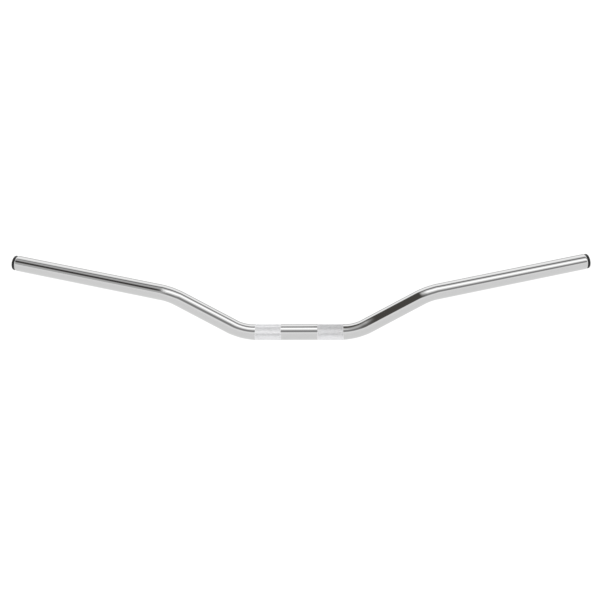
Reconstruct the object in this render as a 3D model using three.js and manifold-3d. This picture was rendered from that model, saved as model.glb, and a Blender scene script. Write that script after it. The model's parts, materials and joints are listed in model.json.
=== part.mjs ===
// A motorcycle handlebar: one bent steel tube with two knurled clamp seats,
// and a push-fit plastic plug in each end.
//
// Millimetres, +Z up. The origin is on the tube's axis, halfway between the
// clamp seats. The seats lie along X, and the ends rise (+Z) and sweep back
// towards the rider (+Y). The bar is the same on both sides of the YZ plane.

import * as THREE from 'three';
import { mergeVertices } from 'three/addons/utils/BufferGeometryUtils.js';
import Module from 'manifold-3d';

const wasm = await Module();
wasm.setup();

// --- Driving dimensions ----------------------------------------------------

const TUBE_RADIUS = 11.1;          // 22.2 mm (7/8 inch) bar
const TUBE_WALL = 2;
const BORE_RADIUS = TUBE_RADIUS - TUBE_WALL;
const TUBE_SIDES = 40;
const BORE_SIDES = 24;

// Each end of the tube is rounded over on the outside, like a quarter ellipse.
const SHOULDER_LENGTH = 2.6;
const SHOULDER_DROP = 0.8;         // loss of radius at the very end

// Half of the bar, from the middle outwards: three straights, two bends.
const CLAMP_HALF_LENGTH = 60;
const RISE_LENGTH = 82;
const GRIP_LENGTH = 228.7;
const BEND_RADIUS = 76;            // to the tube's axis
const BEND_STEP = 3.6;             // degrees of bend per tube section
const RISE = { tilt: 26.4, sweep: 9 };     // degrees up, degrees back
const GRIP = { tilt: 6.6, sweep: 18 };

// Knurled clamp seats: shallow bands that stand a little proud of the tube.
const KNURL_START = 25.4;
const KNURL_LENGTH = 36.5;
const KNURL_HEIGHT = 0.15;
const KNURL_EDGE = 0.5;            // length of the run-out at each side
const KNURL_ROOT = TUBE_RADIUS - 0.35;     // where a run-out meets the metal

// End plugs. The flange covers the tube's end, and the fins grip its bore.
const PLUG_GAP = 0.3;              // between flange and tube end
const FLANGE_RADIUS = 10.5;
const FLANGE_THICKNESS = 4;
const FLANGE_FILLET = 1;
const FLANGE_WALL = 2;
const FILLET_STEPS = 5;
const STEM_RADIUS = 7.4;
const STEM_BORE_RADIUS = 5.4;
const STEM_LENGTH = 22;
const STEM_CHAMFER = 0.8;
const FIN_COUNT = 5;
const FIN_RADIUS = BORE_RADIUS - 0.3;
const FIN_PITCH = 4;
const FIN_FOOT = 1.8;              // fin's width where it meets the stem
const FIN_TIP = 0.5;
const PLUG_SIDES = 32;

const CHROME = new THREE.MeshStandardMaterial({
  color: 0xc9cbcc,
  roughness: 0.12,
  metalness: 1,
});
const BLACK_PLASTIC = new THREE.MeshStandardMaterial({
  color: 0x101010,
  roughness: 0.5,
  metalness: 0,
});

// --- Helpers ---------------------------------------------------------------

// Unit vector that leans up from the horizontal and back from the X axis.
function direction({ tilt, sweep }) {
  const up = THREE.MathUtils.degToRad(tilt);
  const back = THREE.MathUtils.degToRad(sweep);
  return new THREE.Vector3(
    Math.cos(up) * Math.cos(back),
    Math.cos(up) * Math.sin(back),
    Math.sin(up),
  );
}

function circle(radius, sides) {
  const points = [];
  for (let i = 0; i < sides; i += 1) {
    const angle = (2 * Math.PI * i) / sides;
    points.push(new THREE.Vector2(radius * Math.cos(angle), radius * Math.sin(angle)));
  }
  return points;
}

function toSolid(geometry) {
  const bare = geometry.index ? geometry.toNonIndexed() : geometry.clone();
  bare.deleteAttribute('normal');
  bare.deleteAttribute('uv');
  const merged = mergeVertices(bare, 1e-4);
  return new wasm.Manifold(new wasm.Mesh({
    numProp: 3,
    vertProperties: new Float32Array(merged.attributes.position.array),
    triVerts: new Uint32Array(merged.index.array),
  }));
}

function toGeometry(solid) {
  const mesh = solid.getMesh();
  const geometry = new THREE.BufferGeometry();
  geometry.setAttribute('position', new THREE.BufferAttribute(mesh.vertProperties, 3));
  geometry.setIndex(new THREE.BufferAttribute(mesh.triVerts, 1));
  geometry.computeVertexNormals();
  return geometry;
}

// Turns a lathe's axis (Y) to point along a direction, and moves it to a place.
function placed(geometry, axis, position) {
  const turn = new THREE.Quaternion().setFromUnitVectors(new THREE.Vector3(0, 1, 0), axis);
  return geometry.applyQuaternion(turn).translate(position.x, position.y, position.z);
}

// --- The tube's centreline -------------------------------------------------

// Sections of the right half, from the middle to the end of the tube. Each
// has the axis point and the direction there.
function rightHalf() {
  const heading = [new THREE.Vector3(1, 0, 0), direction(RISE), direction(GRIP)];
  const lengths = [CLAMP_HALF_LENGTH, RISE_LENGTH, GRIP_LENGTH];
  const point = new THREE.Vector3();
  const sections = [{ point: point.clone(), tangent: heading[0].clone() }];

  lengths.forEach((length, leg) => {
    point.addScaledVector(heading[leg], length);
    sections.push({ point: point.clone(), tangent: heading[leg].clone() });
    if (leg + 1 < heading.length) {
      const bend = bendSections(point, heading[leg], heading[leg + 1]);
      sections.push(...bend);
      point.copy(bend[bend.length - 1].point);
    }
  });
  return sections;
}

// An arc that leaves start along one direction and ends along another.
function bendSections(start, from, to) {
  const angle = from.angleTo(to);
  const inward = to.clone().addScaledVector(from, -from.dot(to)).normalize();
  const steps = Math.ceil(THREE.MathUtils.radToDeg(angle) / BEND_STEP);
  const sections = [];
  for (let i = 1; i <= steps; i += 1) {
    const turned = (angle * i) / steps;
    const point = start.clone()
      .addScaledVector(from, BEND_RADIUS * Math.sin(turned))
      .addScaledVector(inward, BEND_RADIUS * (1 - Math.cos(turned)));
    const tangent = from.clone().multiplyScalar(Math.cos(turned))
      .addScaledVector(inward, Math.sin(turned));
    sections.push({ point, tangent });
  }
  return sections;
}

// The same section on the left half, still heading from left to right.
function mirrored({ point, tangent }) {
  return {
    point: new THREE.Vector3(-point.x, point.y, point.z),
    tangent: new THREE.Vector3(tangent.x, -tangent.y, -tangent.z),
  };
}

// Where the tube ends on one side (1 right, -1 left), and which way it faces.
function tubeEnd(half, side) {
  const { point, tangent } = half[half.length - 1];
  const flip = new THREE.Vector3(side, 1, 1);
  return { point: point.clone().multiply(flip), outward: tangent.clone().multiply(flip) };
}

// A curve that passes through the sections in equal steps, so that the bends
// get many sections and the straights only one at each end.
class SectionCurve extends THREE.Curve {
  constructor(sections) {
    super();
    this.sections = sections;
  }

  at(t) {
    return this.sections[Math.round(t * (this.sections.length - 1))];
  }

  getPoint(t, target = new THREE.Vector3()) {
    return target.copy(this.at(t).point);
  }

  getTangent(t, target = new THREE.Vector3()) {
    return target.copy(this.at(t).tangent);
  }

  getPointAt(t, target) {
    return this.getPoint(t, target);
  }

  getTangentAt(t, target) {
    return this.getTangent(t, target);
  }
}

// --- Sub-parts -------------------------------------------------------------

function sweptTube(half) {
  const outline = new THREE.Shape(circle(TUBE_RADIUS, TUBE_SIDES));
  outline.holes.push(new THREE.Path(circle(BORE_RADIUS, BORE_SIDES)));
  const sections = [...half.slice(1).reverse().map(mirrored), ...half];
  return toSolid(new THREE.ExtrudeGeometry(outline, {
    steps: sections.length - 1,
    extrudePath: new SectionCurve(sections),
  }));
}

// A knurled clamp seat, as a plain sleeve that joins the tube.
function knurlBand(side) {
  const crest = TUBE_RADIUS + KNURL_HEIGHT;
  const inside = (TUBE_RADIUS + BORE_RADIUS) / 2;
  const profile = [
    new THREE.Vector2(inside, 0),
    new THREE.Vector2(KNURL_ROOT, 0),
    new THREE.Vector2(crest, KNURL_EDGE),
    new THREE.Vector2(crest, KNURL_LENGTH - KNURL_EDGE),
    new THREE.Vector2(KNURL_ROOT, KNURL_LENGTH),
    new THREE.Vector2(inside, KNURL_LENGTH),
    new THREE.Vector2(inside, 0),
  ];
  const axis = new THREE.Vector3(side, 0, 0);
  const start = new THREE.Vector3(side * KNURL_START, 0, 0);
  return toSolid(placed(new THREE.LatheGeometry(profile, TUBE_SIDES), axis, start));
}

// A point on the rounded end's outline, from 0 (the side) to a quarter turn.
function shoulderPoint(angle) {
  return new THREE.Vector2(
    TUBE_RADIUS - SHOULDER_DROP * (1 - Math.cos(angle)),
    -SHOULDER_LENGTH * (1 - Math.sin(angle)),
  );
}

// The point past b, on the line from a, at a number of times their distance.
function beyond(a, b, times) {
  return b.clone().addScaledVector(b.clone().sub(a), times);
}

// Ring that cuts the rounded shoulder from a tube end, in two facets.
function shoulderCutter({ point, outward }) {
  const middle = shoulderPoint(Math.PI / 4);
  const foot = beyond(middle, shoulderPoint(0), 4);
  const top = beyond(middle, shoulderPoint(Math.PI / 2), 1);
  const profile = [foot, new THREE.Vector2(foot.x + 1, top.y), top, middle, foot];
  return toSolid(placed(new THREE.LatheGeometry(profile, TUBE_SIDES), outward, point));
}

function handlebarTube(half) {
  let solid = sweptTube(half);
  for (const side of [-1, 1]) {
    solid = solid.add(knurlBand(side)).subtract(shoulderCutter(tubeEnd(half, side)));
  }
  const mesh = new THREE.Mesh(toGeometry(solid), CHROME);
  mesh.name = 'handlebar_tube';
  return mesh;
}

// Half outline of a plug, as radius and distance along its axis. Zero is the
// flange's inner face, and the stem runs back from there into the tube.
function plugProfile() {
  const points = [
    new THREE.Vector2(0, FLANGE_THICKNESS - FLANGE_WALL),
    new THREE.Vector2(STEM_BORE_RADIUS, FLANGE_THICKNESS - FLANGE_WALL),
    new THREE.Vector2(STEM_BORE_RADIUS, -STEM_LENGTH),
    new THREE.Vector2(STEM_RADIUS - STEM_CHAMFER, -STEM_LENGTH),
    new THREE.Vector2(STEM_RADIUS, STEM_CHAMFER - STEM_LENGTH),
  ];
  for (let fin = FIN_COUNT; fin >= 1; fin -= 1) {
    const foot = -fin * FIN_PITCH;
    points.push(
      new THREE.Vector2(STEM_RADIUS, foot),
      new THREE.Vector2(FIN_RADIUS, foot + FIN_FOOT - FIN_TIP),
      new THREE.Vector2(FIN_RADIUS, foot + FIN_FOOT),
      new THREE.Vector2(STEM_RADIUS, foot + FIN_FOOT),
    );
  }
  points.push(
    new THREE.Vector2(STEM_RADIUS, 0),
    new THREE.Vector2(FLANGE_RADIUS, 0),
  );
  for (let i = 0; i <= FILLET_STEPS; i += 1) {
    const angle = (Math.PI / 2) * (i / FILLET_STEPS);
    points.push(new THREE.Vector2(
      FLANGE_RADIUS - FLANGE_FILLET * (1 - Math.cos(angle)),
      FLANGE_THICKNESS - FLANGE_FILLET * (1 - Math.sin(angle)),
    ));
  }
  points.push(new THREE.Vector2(0, FLANGE_THICKNESS));
  return points;
}

function endPlug(name, { point, outward }) {
  const seat = point.clone().addScaledVector(outward, PLUG_GAP);
  const geometry = placed(new THREE.LatheGeometry(plugProfile(), PLUG_SIDES), outward, seat);
  const mesh = new THREE.Mesh(geometry, BLACK_PLASTIC);
  mesh.name = name;
  return mesh;
}

// --- The handlebar ---------------------------------------------------------

const half = rightHalf();

const handlebar = new THREE.Group();
handlebar.add(
  handlebarTube(half),
  endPlug('left_end_plug', tubeEnd(half, -1)),
  endPlug('right_end_plug', tubeEnd(half, 1)),
);

export default handlebar;
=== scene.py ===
"""Looks of a chromed motorcycle handlebar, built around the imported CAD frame. Blender 4.5."""

import json
import math

import bpy
from mathutils import Matrix, Quaternion, Vector


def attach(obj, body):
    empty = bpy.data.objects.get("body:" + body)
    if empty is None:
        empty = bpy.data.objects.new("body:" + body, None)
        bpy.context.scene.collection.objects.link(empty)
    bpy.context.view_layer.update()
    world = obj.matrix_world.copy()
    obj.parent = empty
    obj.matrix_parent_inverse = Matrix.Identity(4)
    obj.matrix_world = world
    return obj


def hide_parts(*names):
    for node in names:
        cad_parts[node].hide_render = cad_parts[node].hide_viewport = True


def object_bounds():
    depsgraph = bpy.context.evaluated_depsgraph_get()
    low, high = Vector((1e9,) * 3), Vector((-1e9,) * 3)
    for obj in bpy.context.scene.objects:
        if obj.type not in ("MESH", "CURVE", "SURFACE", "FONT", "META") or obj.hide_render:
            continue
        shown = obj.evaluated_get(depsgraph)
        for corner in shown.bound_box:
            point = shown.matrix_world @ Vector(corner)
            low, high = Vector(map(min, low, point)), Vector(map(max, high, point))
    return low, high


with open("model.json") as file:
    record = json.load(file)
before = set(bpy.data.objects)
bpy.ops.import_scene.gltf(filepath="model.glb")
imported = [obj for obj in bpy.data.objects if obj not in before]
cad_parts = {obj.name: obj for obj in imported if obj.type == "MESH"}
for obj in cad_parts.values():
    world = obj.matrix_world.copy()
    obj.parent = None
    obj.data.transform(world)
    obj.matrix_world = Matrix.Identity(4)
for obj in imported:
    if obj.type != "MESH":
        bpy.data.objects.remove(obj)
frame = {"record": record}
cad_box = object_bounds()

MM = 0.001

# The tube, as the CAD has it.
TUBE_RADIUS = 11.1 * MM
BORE_RADIUS = 9.1 * MM
CLAMP_HALF_LENGTH = 60 * MM
RISE_LENGTH = 82 * MM
BEND_RADIUS = 76 * MM
RISE_TILT = math.radians(26.4)
RISE_SWEEP = math.radians(9)
SHOULDER_LENGTH = 2.6 * MM
SHOULDER_DROP = 0.8 * MM
BORE_CHAMFER = 0.35 * MM

# The knurled clamp seats. The knurl's diamonds are longer than they are wide.
KNURL_START = 25.4 * MM
KNURL_LENGTH = 36.5 * MM
KNURL_CREST = TUBE_RADIUS + 0.15 * MM
KNURL_ROOT = TUBE_RADIUS - 0.09 * MM
KNURL_ROWS = 40

# Bending leaves the tube a little narrower in the plane of each bend.
BEND_SQUEEZE = 0.035
BEND_BULGE = 0.012
BEND_RAMP = 0.3               # share of a bend's length over which its section changes

# The end plugs. The flange's face is where the CAD mount says.
PLUG_GAP = 0.3 * MM
FLANGE_RADIUS = 10.5 * MM
FLANGE_THICKNESS = 4 * MM
FLANGE_FILLET = 1 * MM
FLANGE_WALL = 2 * MM
FLANGE_CHAMFER = 0.2 * MM
STEM_RADIUS = 7.4 * MM
STEM_BORE_RADIUS = 5.4 * MM
STEM_LENGTH = 22 * MM
STEM_CHAMFER = 0.8 * MM
FIN_COUNT = 5
FIN_RADIUS = 8.8 * MM
FIN_PITCH = 4 * MM
FIN_FOOT = 1.8 * MM
FIN_TIP = 0.5 * MM

# How finely the meshes are divided.
AROUND = 128                  # faces round the tube, an even number for the knurl
PLUG_AROUND = 96
STRAIGHT_STEP = 10 * MM
BEND_STEP = 2 * MM
ROUND_STEPS = 8               # rings on a rounded edge
BORE_COARSENESS = 2           # how many times longer the steps are in the bore
STEP_TOLERANCE = 1e-6         # keeps a rounding error from adding a step
PLUG_SHARP_ANGLE = math.radians(35)      # a plug's edges that turn more than this stay sharp

WHITE = (1, 1, 1)
WARM = (1, 0.95, 0.86)

# Nearly all of a noise pattern lies between these.
NOISE_LOW = 0.3
NOISE_HIGH = 0.7


# --- Centreline ------------------------------------------------------------

class Leg:
    """A straight or a bend of the right half's centreline.

    axes are the heading and two directions square to it, carried along without twist.
    """

    def __init__(self, start, axes, length, next_heading=None):
        self.start = start
        self.axes = axes
        self.length = length
        self.inward = None
        if next_heading is not None:
            heading = axes[0]
            self.turn_axis = heading.cross(next_heading).normalized()
            self.inward = self.turn_axis.cross(heading)

    def at(self, distance):
        """Point, axes and direction towards the bend's centre, this far along the leg."""
        if self.inward is None:
            return self.start + self.axes[0] * distance, self.axes, None
        turned = Quaternion(self.turn_axis, distance / BEND_RADIUS)
        centre = self.start + self.inward * BEND_RADIUS
        point = centre + turned @ (self.start - centre)
        return point, [turned @ a for a in self.axes], turned @ self.inward


def heading(tilt, sweep):
    return Vector((
        math.cos(tilt) * math.cos(sweep),
        math.cos(tilt) * math.sin(sweep),
        math.sin(tilt),
    ))


def mount(name):
    """Place and outward direction of one of the record's mounts."""
    found = next(m for m in frame["record"]["mounts"] if m["name"] == name)
    return Vector(found["pos_m"]), Vector(found["axis"]).normalized()


def right_half():
    """The legs from the middle of the clamp section to the tube's right end."""
    face, grip_heading = mount("right_plug_face")
    end = face - grip_heading * (FLANGE_THICKNESS + PLUG_GAP)
    rise_heading = heading(RISE_TILT, RISE_SWEEP)
    legs = []
    point = Vector((0, 0, 0))
    axes = [Vector((1, 0, 0)), Vector((0, 1, 0)), Vector((0, 0, 1))]
    for length, turn_to in ((CLAMP_HALF_LENGTH, rise_heading), (RISE_LENGTH, grip_heading)):
        legs.append(Leg(point, axes, length))
        point, axes, _ = legs[-1].at(length)
        arc = BEND_RADIUS * axes[0].angle(turn_to)
        legs.append(Leg(point, axes, arc, turn_to))
        point, axes, _ = legs[-1].at(arc)
    legs.append(Leg(point, axes, (end - point).dot(grip_heading)))
    return legs


LEGS = right_half()
_, _, RISE, _, GRIP = LEGS
HALF_LENGTH = sum(leg.length for leg in LEGS)


def bend_share(leg, distance):
    """How far bending has changed the section here: 0 on a straight, 1 well inside a bend."""
    if leg.inward is None:
        return 0
    ramp = BEND_RAMP * leg.length
    nearest = min(distance, leg.length - distance, ramp) / ramp
    return nearest * nearest * (3 - 2 * nearest)


def leg_at(distance):
    """The leg that holds this distance from the bar's middle, and how far along it that is."""
    for leg in LEGS[:-1]:
        if distance <= leg.length:
            return leg, distance
        distance -= leg.length
    return LEGS[-1], distance


def ring(along, radii):
    """Corners round the tube, this far from the bar's middle (negative on the left)."""
    leg, distance = leg_at(abs(along))
    point, (_, side, up), inward = leg.at(distance)
    share = bend_share(leg, distance)
    corners = []
    for i in range(AROUND):
        angle = 2 * math.pi * i / AROUND
        out = side * math.cos(angle) + up * math.sin(angle)
        radius = radii[i % len(radii)]
        if share:
            facing = out.dot(inward) ** 2
            radius *= 1 + share * (BEND_BULGE * (1 - facing) - BEND_SQUEEZE * facing)
        corner = point + out * radius
        if along < 0:
            corner.x = -corner.x
        corners.append(corner)
    return corners


# --- Mesh building ---------------------------------------------------------

class Surface:
    """Collects rings of corners and the faces between them, each with a material number."""

    def __init__(self):
        self.points = []
        self.places = []
        self.faces = []
        self.slots = []
        self.flat = []

    def add_ring(self, corners, place=0):
        """Adds corners that all lie at this place along the piece, for its materials."""
        first = len(self.points)
        self.points.extend(corners)
        self.places.extend([place] * len(corners))
        return list(range(first, first + len(corners)))

    def add_face(self, corners, slot, flat=False):
        self.faces.append(corners)
        self.slots.append(slot)
        self.flat.append(flat)

    def skin(self, a, b, slot, flat=False, diagonals=None):
        """Joins two rings. With diagonals, 0 or 1, each face is split, one way and then the other."""
        count = len(a)
        for i in range(count):
            j = (i + 1) % count
            if diagonals is None:
                self.add_face((a[i], a[j], b[j], b[i]), slot, flat)
            elif (i + diagonals) % 2:
                self.add_face((a[i], a[j], b[j]), slot, flat)
                self.add_face((a[i], b[j], b[i]), slot, flat)
            else:
                self.add_face((a[i], a[j], b[i]), slot, flat)
                self.add_face((a[j], b[j], b[i]), slot, flat)

    def grow(self, last, along, radii, slot, flat=False, diagonals=None):
        """Adds a ring of the tube and joins it to the last one, outwards from the bar's middle."""
        fresh = self.add_ring(ring(along, radii), along)
        if along > 0:
            self.skin(last, fresh, slot, flat, diagonals)
        else:
            self.skin(fresh, last, slot, flat, None if diagonals is None else 1 - diagonals)
        return fresh

    def to_object(self, name, materials):
        mesh = bpy.data.meshes.new(name)
        mesh.from_pydata(self.points, [], self.faces)
        for material in materials:
            mesh.materials.append(material)
        mesh.polygons.foreach_set("material_index", self.slots)
        mesh.polygons.foreach_set("use_smooth", [not f for f in self.flat])
        mesh.attributes.new("along", "FLOAT", "POINT").data.foreach_set("value", self.places)
        mesh.update()
        made = bpy.data.objects.new(name, mesh)
        bpy.context.scene.collection.objects.link(made)
        return made


def spread(start, end, step):
    """Even stations after start, up to and with end, no more than a step apart."""
    count = max(1, math.ceil((end - start) / step - STEP_TOLERANCE))
    return [start + (end - start) * (i + 1) / count for i in range(count)]


# --- Materials -------------------------------------------------------------

class Shading:
    """A new Principled material, and short ways to add procedural detail to it."""

    def __init__(self, name, colour, roughness, metallic=0):
        self.material = bpy.data.materials.new(name)
        self.material.use_nodes = True
        self.tree = self.material.node_tree
        self.shader = self.tree.nodes["Principled BSDF"]
        self.shader.inputs["Base Color"].default_value = (*colour, 1)
        self.shader.inputs["Roughness"].default_value = roughness
        self.shader.inputs["Metallic"].default_value = metallic
        self.place = self.tree.nodes.new("ShaderNodeTexCoord").outputs["Object"]

    def add(self, kind, inputs, **settings):
        """Adds a node. An input is a plain value, or another node's output to link."""
        node = self.tree.nodes.new("ShaderNode" + kind)
        for name, value in settings.items():
            setattr(node, name, value)
        for name, value in inputs.items():
            if isinstance(value, bpy.types.NodeSocket):
                self.tree.links.new(value, node.inputs[name])
            else:
                node.inputs[name].default_value = value
        return node

    def noise(self, size, detail=2, stretch=(1, 1, 1)):
        """Noise whose lumps are about this size, in metres, and longer where stretch is over 1."""
        scaled = self.add("Mapping", {
            "Vector": self.place,
            "Scale": [1 / (size * s) for s in stretch],
        })
        made = self.add("TexNoise", {"Vector": scaled.outputs[0], "Scale": 1, "Detail": detail})
        return made.outputs[0]

    def lines_across(self, size, detail=2):
        """Noise that changes only along the piece, in lines about this far apart."""
        along = self.add("Attribute", {}, attribute_name="along")
        made = self.add(
            "TexNoise",
            {"W": along.outputs["Fac"], "Scale": 1 / size, "Detail": detail},
            noise_dimensions="1D",
        )
        return made.outputs[0]

    def between(self, pattern, low, high):
        """Turns a pattern into numbers from low to high."""
        made = self.add("MapRange", {
            "Value": pattern,
            "From Min": NOISE_LOW,
            "From Max": NOISE_HIGH,
            "To Min": low,
            "To Max": high,
        })
        return made.outputs[0]

    def vary_roughness(self, pattern, low, high):
        self.tree.links.new(self.between(pattern, low, high), self.shader.inputs["Roughness"])

    def vary_colour(self, pattern, low, high):
        """Blends two colours by a pattern."""
        share = self.between(pattern, 0, 1)
        made = self.add("Mix", {"Factor": share}, data_type="RGBA")
        for socket, colour in ((made.inputs[6], low), (made.inputs[7], high)):
            socket.default_value = (*colour, 1)
        self.tree.links.new(made.outputs[2], self.shader.inputs["Base Color"])

    def emboss(self, *reliefs):
        """Bumps one pattern after another: each is a pattern and its depth in metres."""
        normal = None
        for pattern, depth in reliefs:
            bump = self.add("Bump", {"Height": pattern, "Distance": depth})
            if normal is not None:
                self.tree.links.new(normal, bump.inputs["Normal"])
            normal = bump.outputs[0]
        self.tree.links.new(normal, self.shader.inputs["Normal"])


def polished_chrome():
    """Bright plating: handling haze in its gloss, slight waves, and hair-fine buffing lines."""
    look = Shading("polished_chrome", (0.56, 0.56, 0.56), 0.05, metallic=1)
    look.vary_roughness(look.noise(14 * MM, detail=5), 0.03, 0.085)
    look.emboss(
        (look.noise(26 * MM), 0.06 * MM),
        (look.lines_across(0.5 * MM), 0.0008 * MM),
    )
    return look.material


def knurled_chrome():
    """Plating over the knurl's cut diamonds: less even, with a dull grain."""
    look = Shading("knurled_chrome", (0.75, 0.75, 0.76), 0.4, metallic=1)
    look.vary_colour(look.noise(3 * MM, detail=4), (0.72, 0.72, 0.73), (0.79, 0.79, 0.8))
    look.vary_roughness(look.noise(1.2 * MM, detail=3), 0.36, 0.46)
    look.emboss((look.noise(0.3 * MM), 0.01 * MM))
    return look.material


def bare_steel():
    """The unplated bore: dull drawn steel with lines along the tube and a brown bloom."""
    look = Shading("bare_steel", (0.25, 0.24, 0.23), 0.45, metallic=1)
    look.vary_colour(look.noise(6 * MM, detail=5), (0.2, 0.16, 0.13), (0.32, 0.31, 0.3))
    look.vary_roughness(look.noise(2 * MM, detail=4), 0.38, 0.62)
    look.emboss((look.noise(0.4 * MM, stretch=(60, 1, 1)), 0.015 * MM))
    return look.material


def black_plastic():
    """Moulded black plastic with a fine spark-eroded grain and slightly uneven gloss."""
    look = Shading("black_plastic", (0.008, 0.008, 0.009), 0.4)
    look.shader.inputs["Specular IOR Level"].default_value = 0.3
    look.vary_colour(look.noise(4 * MM, detail=4), (0.006, 0.006, 0.007), (0.012, 0.012, 0.012))
    look.vary_roughness(look.noise(2.5 * MM, detail=4), 0.34, 0.5)
    look.emboss((look.noise(0.25 * MM, detail=3), 0.006 * MM))
    return look.material


# --- The tube --------------------------------------------------------------

POLISHED, KNURLED, BARE = range(3)


def plain_stations():
    """Distances from the middle and radii of the right half's rings, past the knurl."""
    stations = []
    start = KNURL_START + KNURL_LENGTH
    reached = 0
    for leg in LEGS[:-1]:
        reached += leg.length
        if reached > start:
            step = BEND_STEP if leg.inward else STRAIGHT_STEP
            stations += [(s, TUBE_RADIUS) for s in spread(start, reached, step)]
            start = reached
    shoulder = HALF_LENGTH - SHOULDER_LENGTH
    stations += [(s, TUBE_RADIUS) for s in spread(start, shoulder, STRAIGHT_STEP)]
    for i in range(1, ROUND_STEPS + 1):
        angle = math.pi / 2 * i / ROUND_STEPS
        stations.append((
            shoulder + SHOULDER_LENGTH * math.sin(angle),
            TUBE_RADIUS - SHOULDER_DROP * (1 - math.cos(angle)),
        ))
    return stations


def add_knurl(surface, last, side):
    """Rows of little pyramids, half a diamond out of step with each other."""
    for row in range(1, KNURL_ROWS + 1):
        s = KNURL_START + KNURL_LENGTH * row / KNURL_ROWS
        radii = [KNURL_CREST, KNURL_ROOT] if row % 2 else [KNURL_ROOT, KNURL_CREST]
        if row == KNURL_ROWS:
            radii = [TUBE_RADIUS]
        last = surface.grow(last, side * s, radii, KNURLED, flat=True, diagonals=row % 2)
    return last


def add_half_tube(surface, middle, side):
    """Half of the tube's outside and the end's face. Gives the ring where the bore starts."""
    last = middle
    for s in spread(0, KNURL_START, STRAIGHT_STEP):
        last = surface.grow(last, side * s, [TUBE_RADIUS], POLISHED)
    last = add_knurl(surface, last, side)
    for s, radius in plain_stations():
        last = surface.grow(last, side * s, [radius], POLISHED)
    end = side * HALF_LENGTH
    last = surface.grow(last, end, [BORE_RADIUS + BORE_CHAMFER], POLISHED, flat=True)
    return surface.grow(last, end - side * BORE_CHAMFER, [BORE_RADIUS], BARE, flat=True)


def bore_stations():
    """Distances of the bore's rings, from near the right end to near the left one."""
    right = []
    start = 0
    for leg in LEGS:
        step = BORE_COARSENESS * (BEND_STEP if leg.inward else STRAIGHT_STEP)
        right += spread(start, start + leg.length, step)
        start += leg.length
    right.pop()
    return [*reversed(right), 0, *(-s for s in right)]


def build_tube():
    surface = Surface()
    middle = surface.add_ring(ring(0, [TUBE_RADIUS]))
    right_mouth, left_mouth = (add_half_tube(surface, middle, side) for side in (1, -1))
    last = right_mouth
    for s in bore_stations():
        fresh = surface.add_ring(ring(s, [BORE_RADIUS]), s)
        surface.skin(last, fresh, BARE)
        last = fresh
    surface.skin(last, left_mouth, BARE)
    tube = surface.to_object("chromed_tube", [polished_chrome(), knurled_chrome(), bare_steel()])
    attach(tube, "tube")
    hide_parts("handlebar_tube")


# --- The plugs -------------------------------------------------------------

def fin_profile(fin):
    """Half outline of one of the fins that grip the bore, numbered from the flange."""
    foot = -FIN_PITCH * fin
    return [
        (STEM_RADIUS, foot),
        (FIN_RADIUS, foot + FIN_FOOT - FIN_TIP),
        (FIN_RADIUS, foot + FIN_FOOT),
        (STEM_RADIUS, foot + FIN_FOOT),
    ]


def plug_profile():
    """Half outline of a plug: radius, and distance from the flange's inner face."""
    points = [
        (STEM_BORE_RADIUS, FLANGE_THICKNESS - FLANGE_WALL),
        (STEM_BORE_RADIUS, -STEM_LENGTH),
        (STEM_RADIUS - STEM_CHAMFER, -STEM_LENGTH),
        (STEM_RADIUS, STEM_CHAMFER - STEM_LENGTH),
    ]
    for fin in range(FIN_COUNT, 0, -1):
        points += fin_profile(fin)
    points += [
        (STEM_RADIUS, 0),
        (FLANGE_RADIUS - FLANGE_CHAMFER, 0),
        (FLANGE_RADIUS, FLANGE_CHAMFER),
    ]
    for i in range(ROUND_STEPS + 1):
        angle = math.pi / 2 * i / ROUND_STEPS
        points.append((
            FLANGE_RADIUS - FLANGE_FILLET * (1 - math.cos(angle)),
            FLANGE_THICKNESS - FLANGE_FILLET * (1 - math.sin(angle)),
        ))
    return points


def build_plug(side_name, material):
    face, outward = mount(side_name + "_plug_face")
    base = face - outward * FLANGE_THICKNESS
    u = outward.orthogonal().normalized()
    v = outward.cross(u)
    surface = Surface()
    rings = []
    for radius, along in plug_profile():
        centre = base + outward * along
        corners = []
        for i in range(PLUG_AROUND):
            angle = 2 * math.pi * i / PLUG_AROUND
            corners.append(centre + (u * math.cos(angle) + v * math.sin(angle)) * radius)
        rings.append(surface.add_ring(corners, along))
    for a, b in zip(rings, rings[1:]):
        surface.skin(a, b, 0)
    surface.add_face(tuple(reversed(rings[0])), 0)
    surface.add_face(tuple(rings[-1]), 0)
    plug = surface.to_object(side_name + "_plug", [material])
    plug.data.set_sharp_from_angle(angle=PLUG_SHARP_ANGLE)
    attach(plug, side_name + "_plug")
    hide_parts(side_name + "_end_plug")


# --- Camera and stage ------------------------------------------------------

CAMERA_AZIMUTH = math.radians(1.22)
CAMERA_ELEVATION = math.radians(14.53)
CAMERA_ROLL = math.radians(-0.46)
CAMERA_DISTANCE = 2.138
CAMERA_LENS = 90                # millimetres, as Blender has it
CAMERA_SENSOR = 36
CAMERA_AIM = Vector((0.5, 0, -4.6)) * MM      # from the middle of the bar's box


def build_camera():
    back = Vector((
        math.sin(CAMERA_AZIMUTH) * math.cos(CAMERA_ELEVATION),
        -math.cos(CAMERA_AZIMUTH) * math.cos(CAMERA_ELEVATION),
        math.sin(CAMERA_ELEVATION),
    ))
    low, high = cad_box
    camera = bpy.data.objects.new("camera", bpy.data.cameras.new("camera"))
    bpy.context.scene.collection.objects.link(camera)
    camera.data.lens = CAMERA_LENS
    camera.data.sensor_width = CAMERA_SENSOR
    camera.location = (low + high) / 2 + CAMERA_AIM + back * CAMERA_DISTANCE
    camera.rotation_mode = "QUATERNION"
    level = (-back).to_track_quat("-Z", "Y")
    camera.rotation_quaternion = level @ Quaternion((0, 0, 1), CAMERA_ROLL)
    bpy.context.scene.camera = camera


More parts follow.
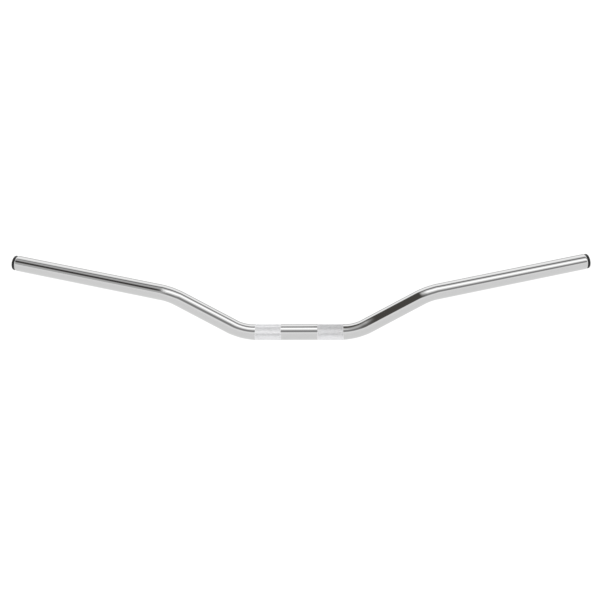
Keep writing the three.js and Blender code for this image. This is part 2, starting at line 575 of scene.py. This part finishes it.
def leg_line(side, leg):
    """Middle and outward direction of one of the bar's straights, right (1) or left (-1)."""
    point, axes, _ = leg.at(leg.length / 2)
    flip = Vector((side, 1, 1))
    return point * flip, axes[0] * flip


BOARD_MIDDLE = 0.5              # in the board's own coordinates, from 0 to 1


def board_material(name, tone, brightness, fade_along, fade_across):
    """Even light that fades out towards the board's edges. A fade is a share of the board."""
    look = Shading(name, tone, 1)
    nodes, links = look.tree.nodes, look.tree.links
    generated = look.place.node.outputs["Generated"]
    split = look.add("SeparateXYZ", {"Vector": generated})
    cover = look.add("Math", {}, operation="MULTIPLY")
    for i, fade in enumerate((fade_along, fade_across)):
        from_edge = look.add("Math", {0: split.outputs[i], 1: BOARD_MIDDLE}, operation="PINGPONG")
        ramp = look.add(
            "MapRange",
            {"Value": from_edge.outputs[0], "From Max": min(fade, BOARD_MIDDLE)},
            interpolation_type="SMOOTHSTEP",
        )
        links.new(ramp.outputs["Result"], cover.inputs[i])
    clear = look.add("BsdfTransparent", {})
    glow = look.add("Emission", {"Color": (*tone, 1), "Strength": brightness})
    mix = look.add("MixShader", {0: cover.outputs[0], 1: clear.outputs[0], 2: glow.outputs[0]})
    links.new(mix.outputs[0], nodes["Material Output"].inputs["Surface"])
    nodes.remove(look.shader)
    look.material.cycles.emission_sampling = "NONE"
    return look.material


def add_board(name, line, angle, distance, size, brightness, fade, slide=0, tone=WHITE):
    """A flat board beside a line, facing it, that only reflections see.

    angle goes round the line in degrees, from 0 in front of the bar to 90 above it. size is the
    board's length along the line and its width. slide moves it along the line, and fade is how
    wide its soft edge is.
    """
    middle, along = line
    front = Vector((0, -1, 0))
    front = (front - along * front.dot(along)).normalized()
    above = front.cross(along)
    if above.z < 0:
        above.negate()
    turn = math.radians(angle)
    out = front * math.cos(turn) + above * math.sin(turn)
    length, width = size
    half_length, half_width = length / 2, width / 2
    mesh = bpy.data.meshes.new(name)
    mesh.from_pydata([
        (-half_length, -half_width, 0),
        (half_length, -half_width, 0),
        (half_length, half_width, 0),
        (-half_length, half_width, 0),
    ], [], [(0, 1, 2, 3)])
    mesh.materials.append(board_material(name, tone, brightness, fade / length, fade / width))
    board = bpy.data.objects.new(name, mesh)
    bpy.context.scene.collection.objects.link(board)
    turned = Matrix((along, out.cross(along), out)).transposed().to_4x4()
    board.matrix_world = Matrix.Translation(middle + out * distance + along * slide) @ turned
    board.visible_camera = False
    board.visible_diffuse = False
    board.visible_transmission = False
    board.visible_shadow = False


def build_soft_boxes():
    """Long soft boxes in front of and behind the bar, and the darker gaps between them."""
    low, high = cad_box
    bar = ((low + high) / 2, Vector((1, 0, 0)))
    add_board(
        "camera_opening", bar, angle=24, distance=0.6, size=(2.6, 0.42), brightness=0.35, fade=0.13
    )
    add_board("tent_seam", bar, angle=92, distance=0.5, size=(2.4, 0.26), brightness=0.25, fade=0.09)
    add_board(
        "soft_box", bar, angle=61, distance=0.5, size=(1.6, 0.22), brightness=1.9, fade=0.07, slide=0.45
    )
    add_board("back_soft_box", bar, angle=125, distance=0.6, size=(1.8, 0.3), brightness=1.5, fade=0.1)
    add_board(
        "back_opening", bar, angle=163, distance=0.8, size=(2.6, 0.45), brightness=0.4, fade=0.16
    )


def build_flags():
    """Dark flags that give the chrome its contrast, the left one on a grey board."""
    left_grip = leg_line(-1, GRIP)
    right_rise = leg_line(1, RISE)
    add_board(
        "left_board", left_grip, angle=40, distance=0.2, size=(0.4, 0.35), brightness=0.65, fade=0.05,
        slide=0.1,
    )
    add_board(
        "left_flag", left_grip, angle=40, distance=0.15, size=(0.4, 0.12), brightness=0.05, fade=0.05,
        slide=0.1, tone=WARM,
    )
    add_board(
        "right_flag", right_rise, angle=55, distance=0.12, size=(0.16, 0.3), brightness=0.1, fade=0.04,
        slide=0.02, tone=WARM,
    )


FLOOR_HEIGHT = -0.6
FLOOR_SIZE = 12
FLOOR_COLOUR = (0.9, 0.9, 0.9)
FLOOR_ROUGHNESS = 0.9
SURROUNDING_STRENGTH = 1.2


def build_stage():
    """A wide pale floor well below the bar, and an even white surrounding."""
    bpy.ops.mesh.primitive_plane_add(size=FLOOR_SIZE, location=(0, 0, FLOOR_HEIGHT))
    floor = bpy.context.object
    floor.name = "floor"
    look = Shading("floor", FLOOR_COLOUR, FLOOR_ROUGHNESS)
    floor.data.materials.append(look.material)
    world = bpy.data.worlds.new("studio")
    bpy.context.scene.world = world
    world.use_nodes = True
    background = world.node_tree.nodes["Background"]
    background.inputs["Color"].default_value = (*WHITE, 1)
    background.inputs["Strength"].default_value = SURROUNDING_STRENGTH
    bpy.context.scene.view_settings.view_transform = "Standard"


build_camera()
build_tube()
plastic = black_plastic()
for side_name in ("left", "right"):
    build_plug(side_name, plastic)
build_stage()
build_soft_boxes()
build_flags()
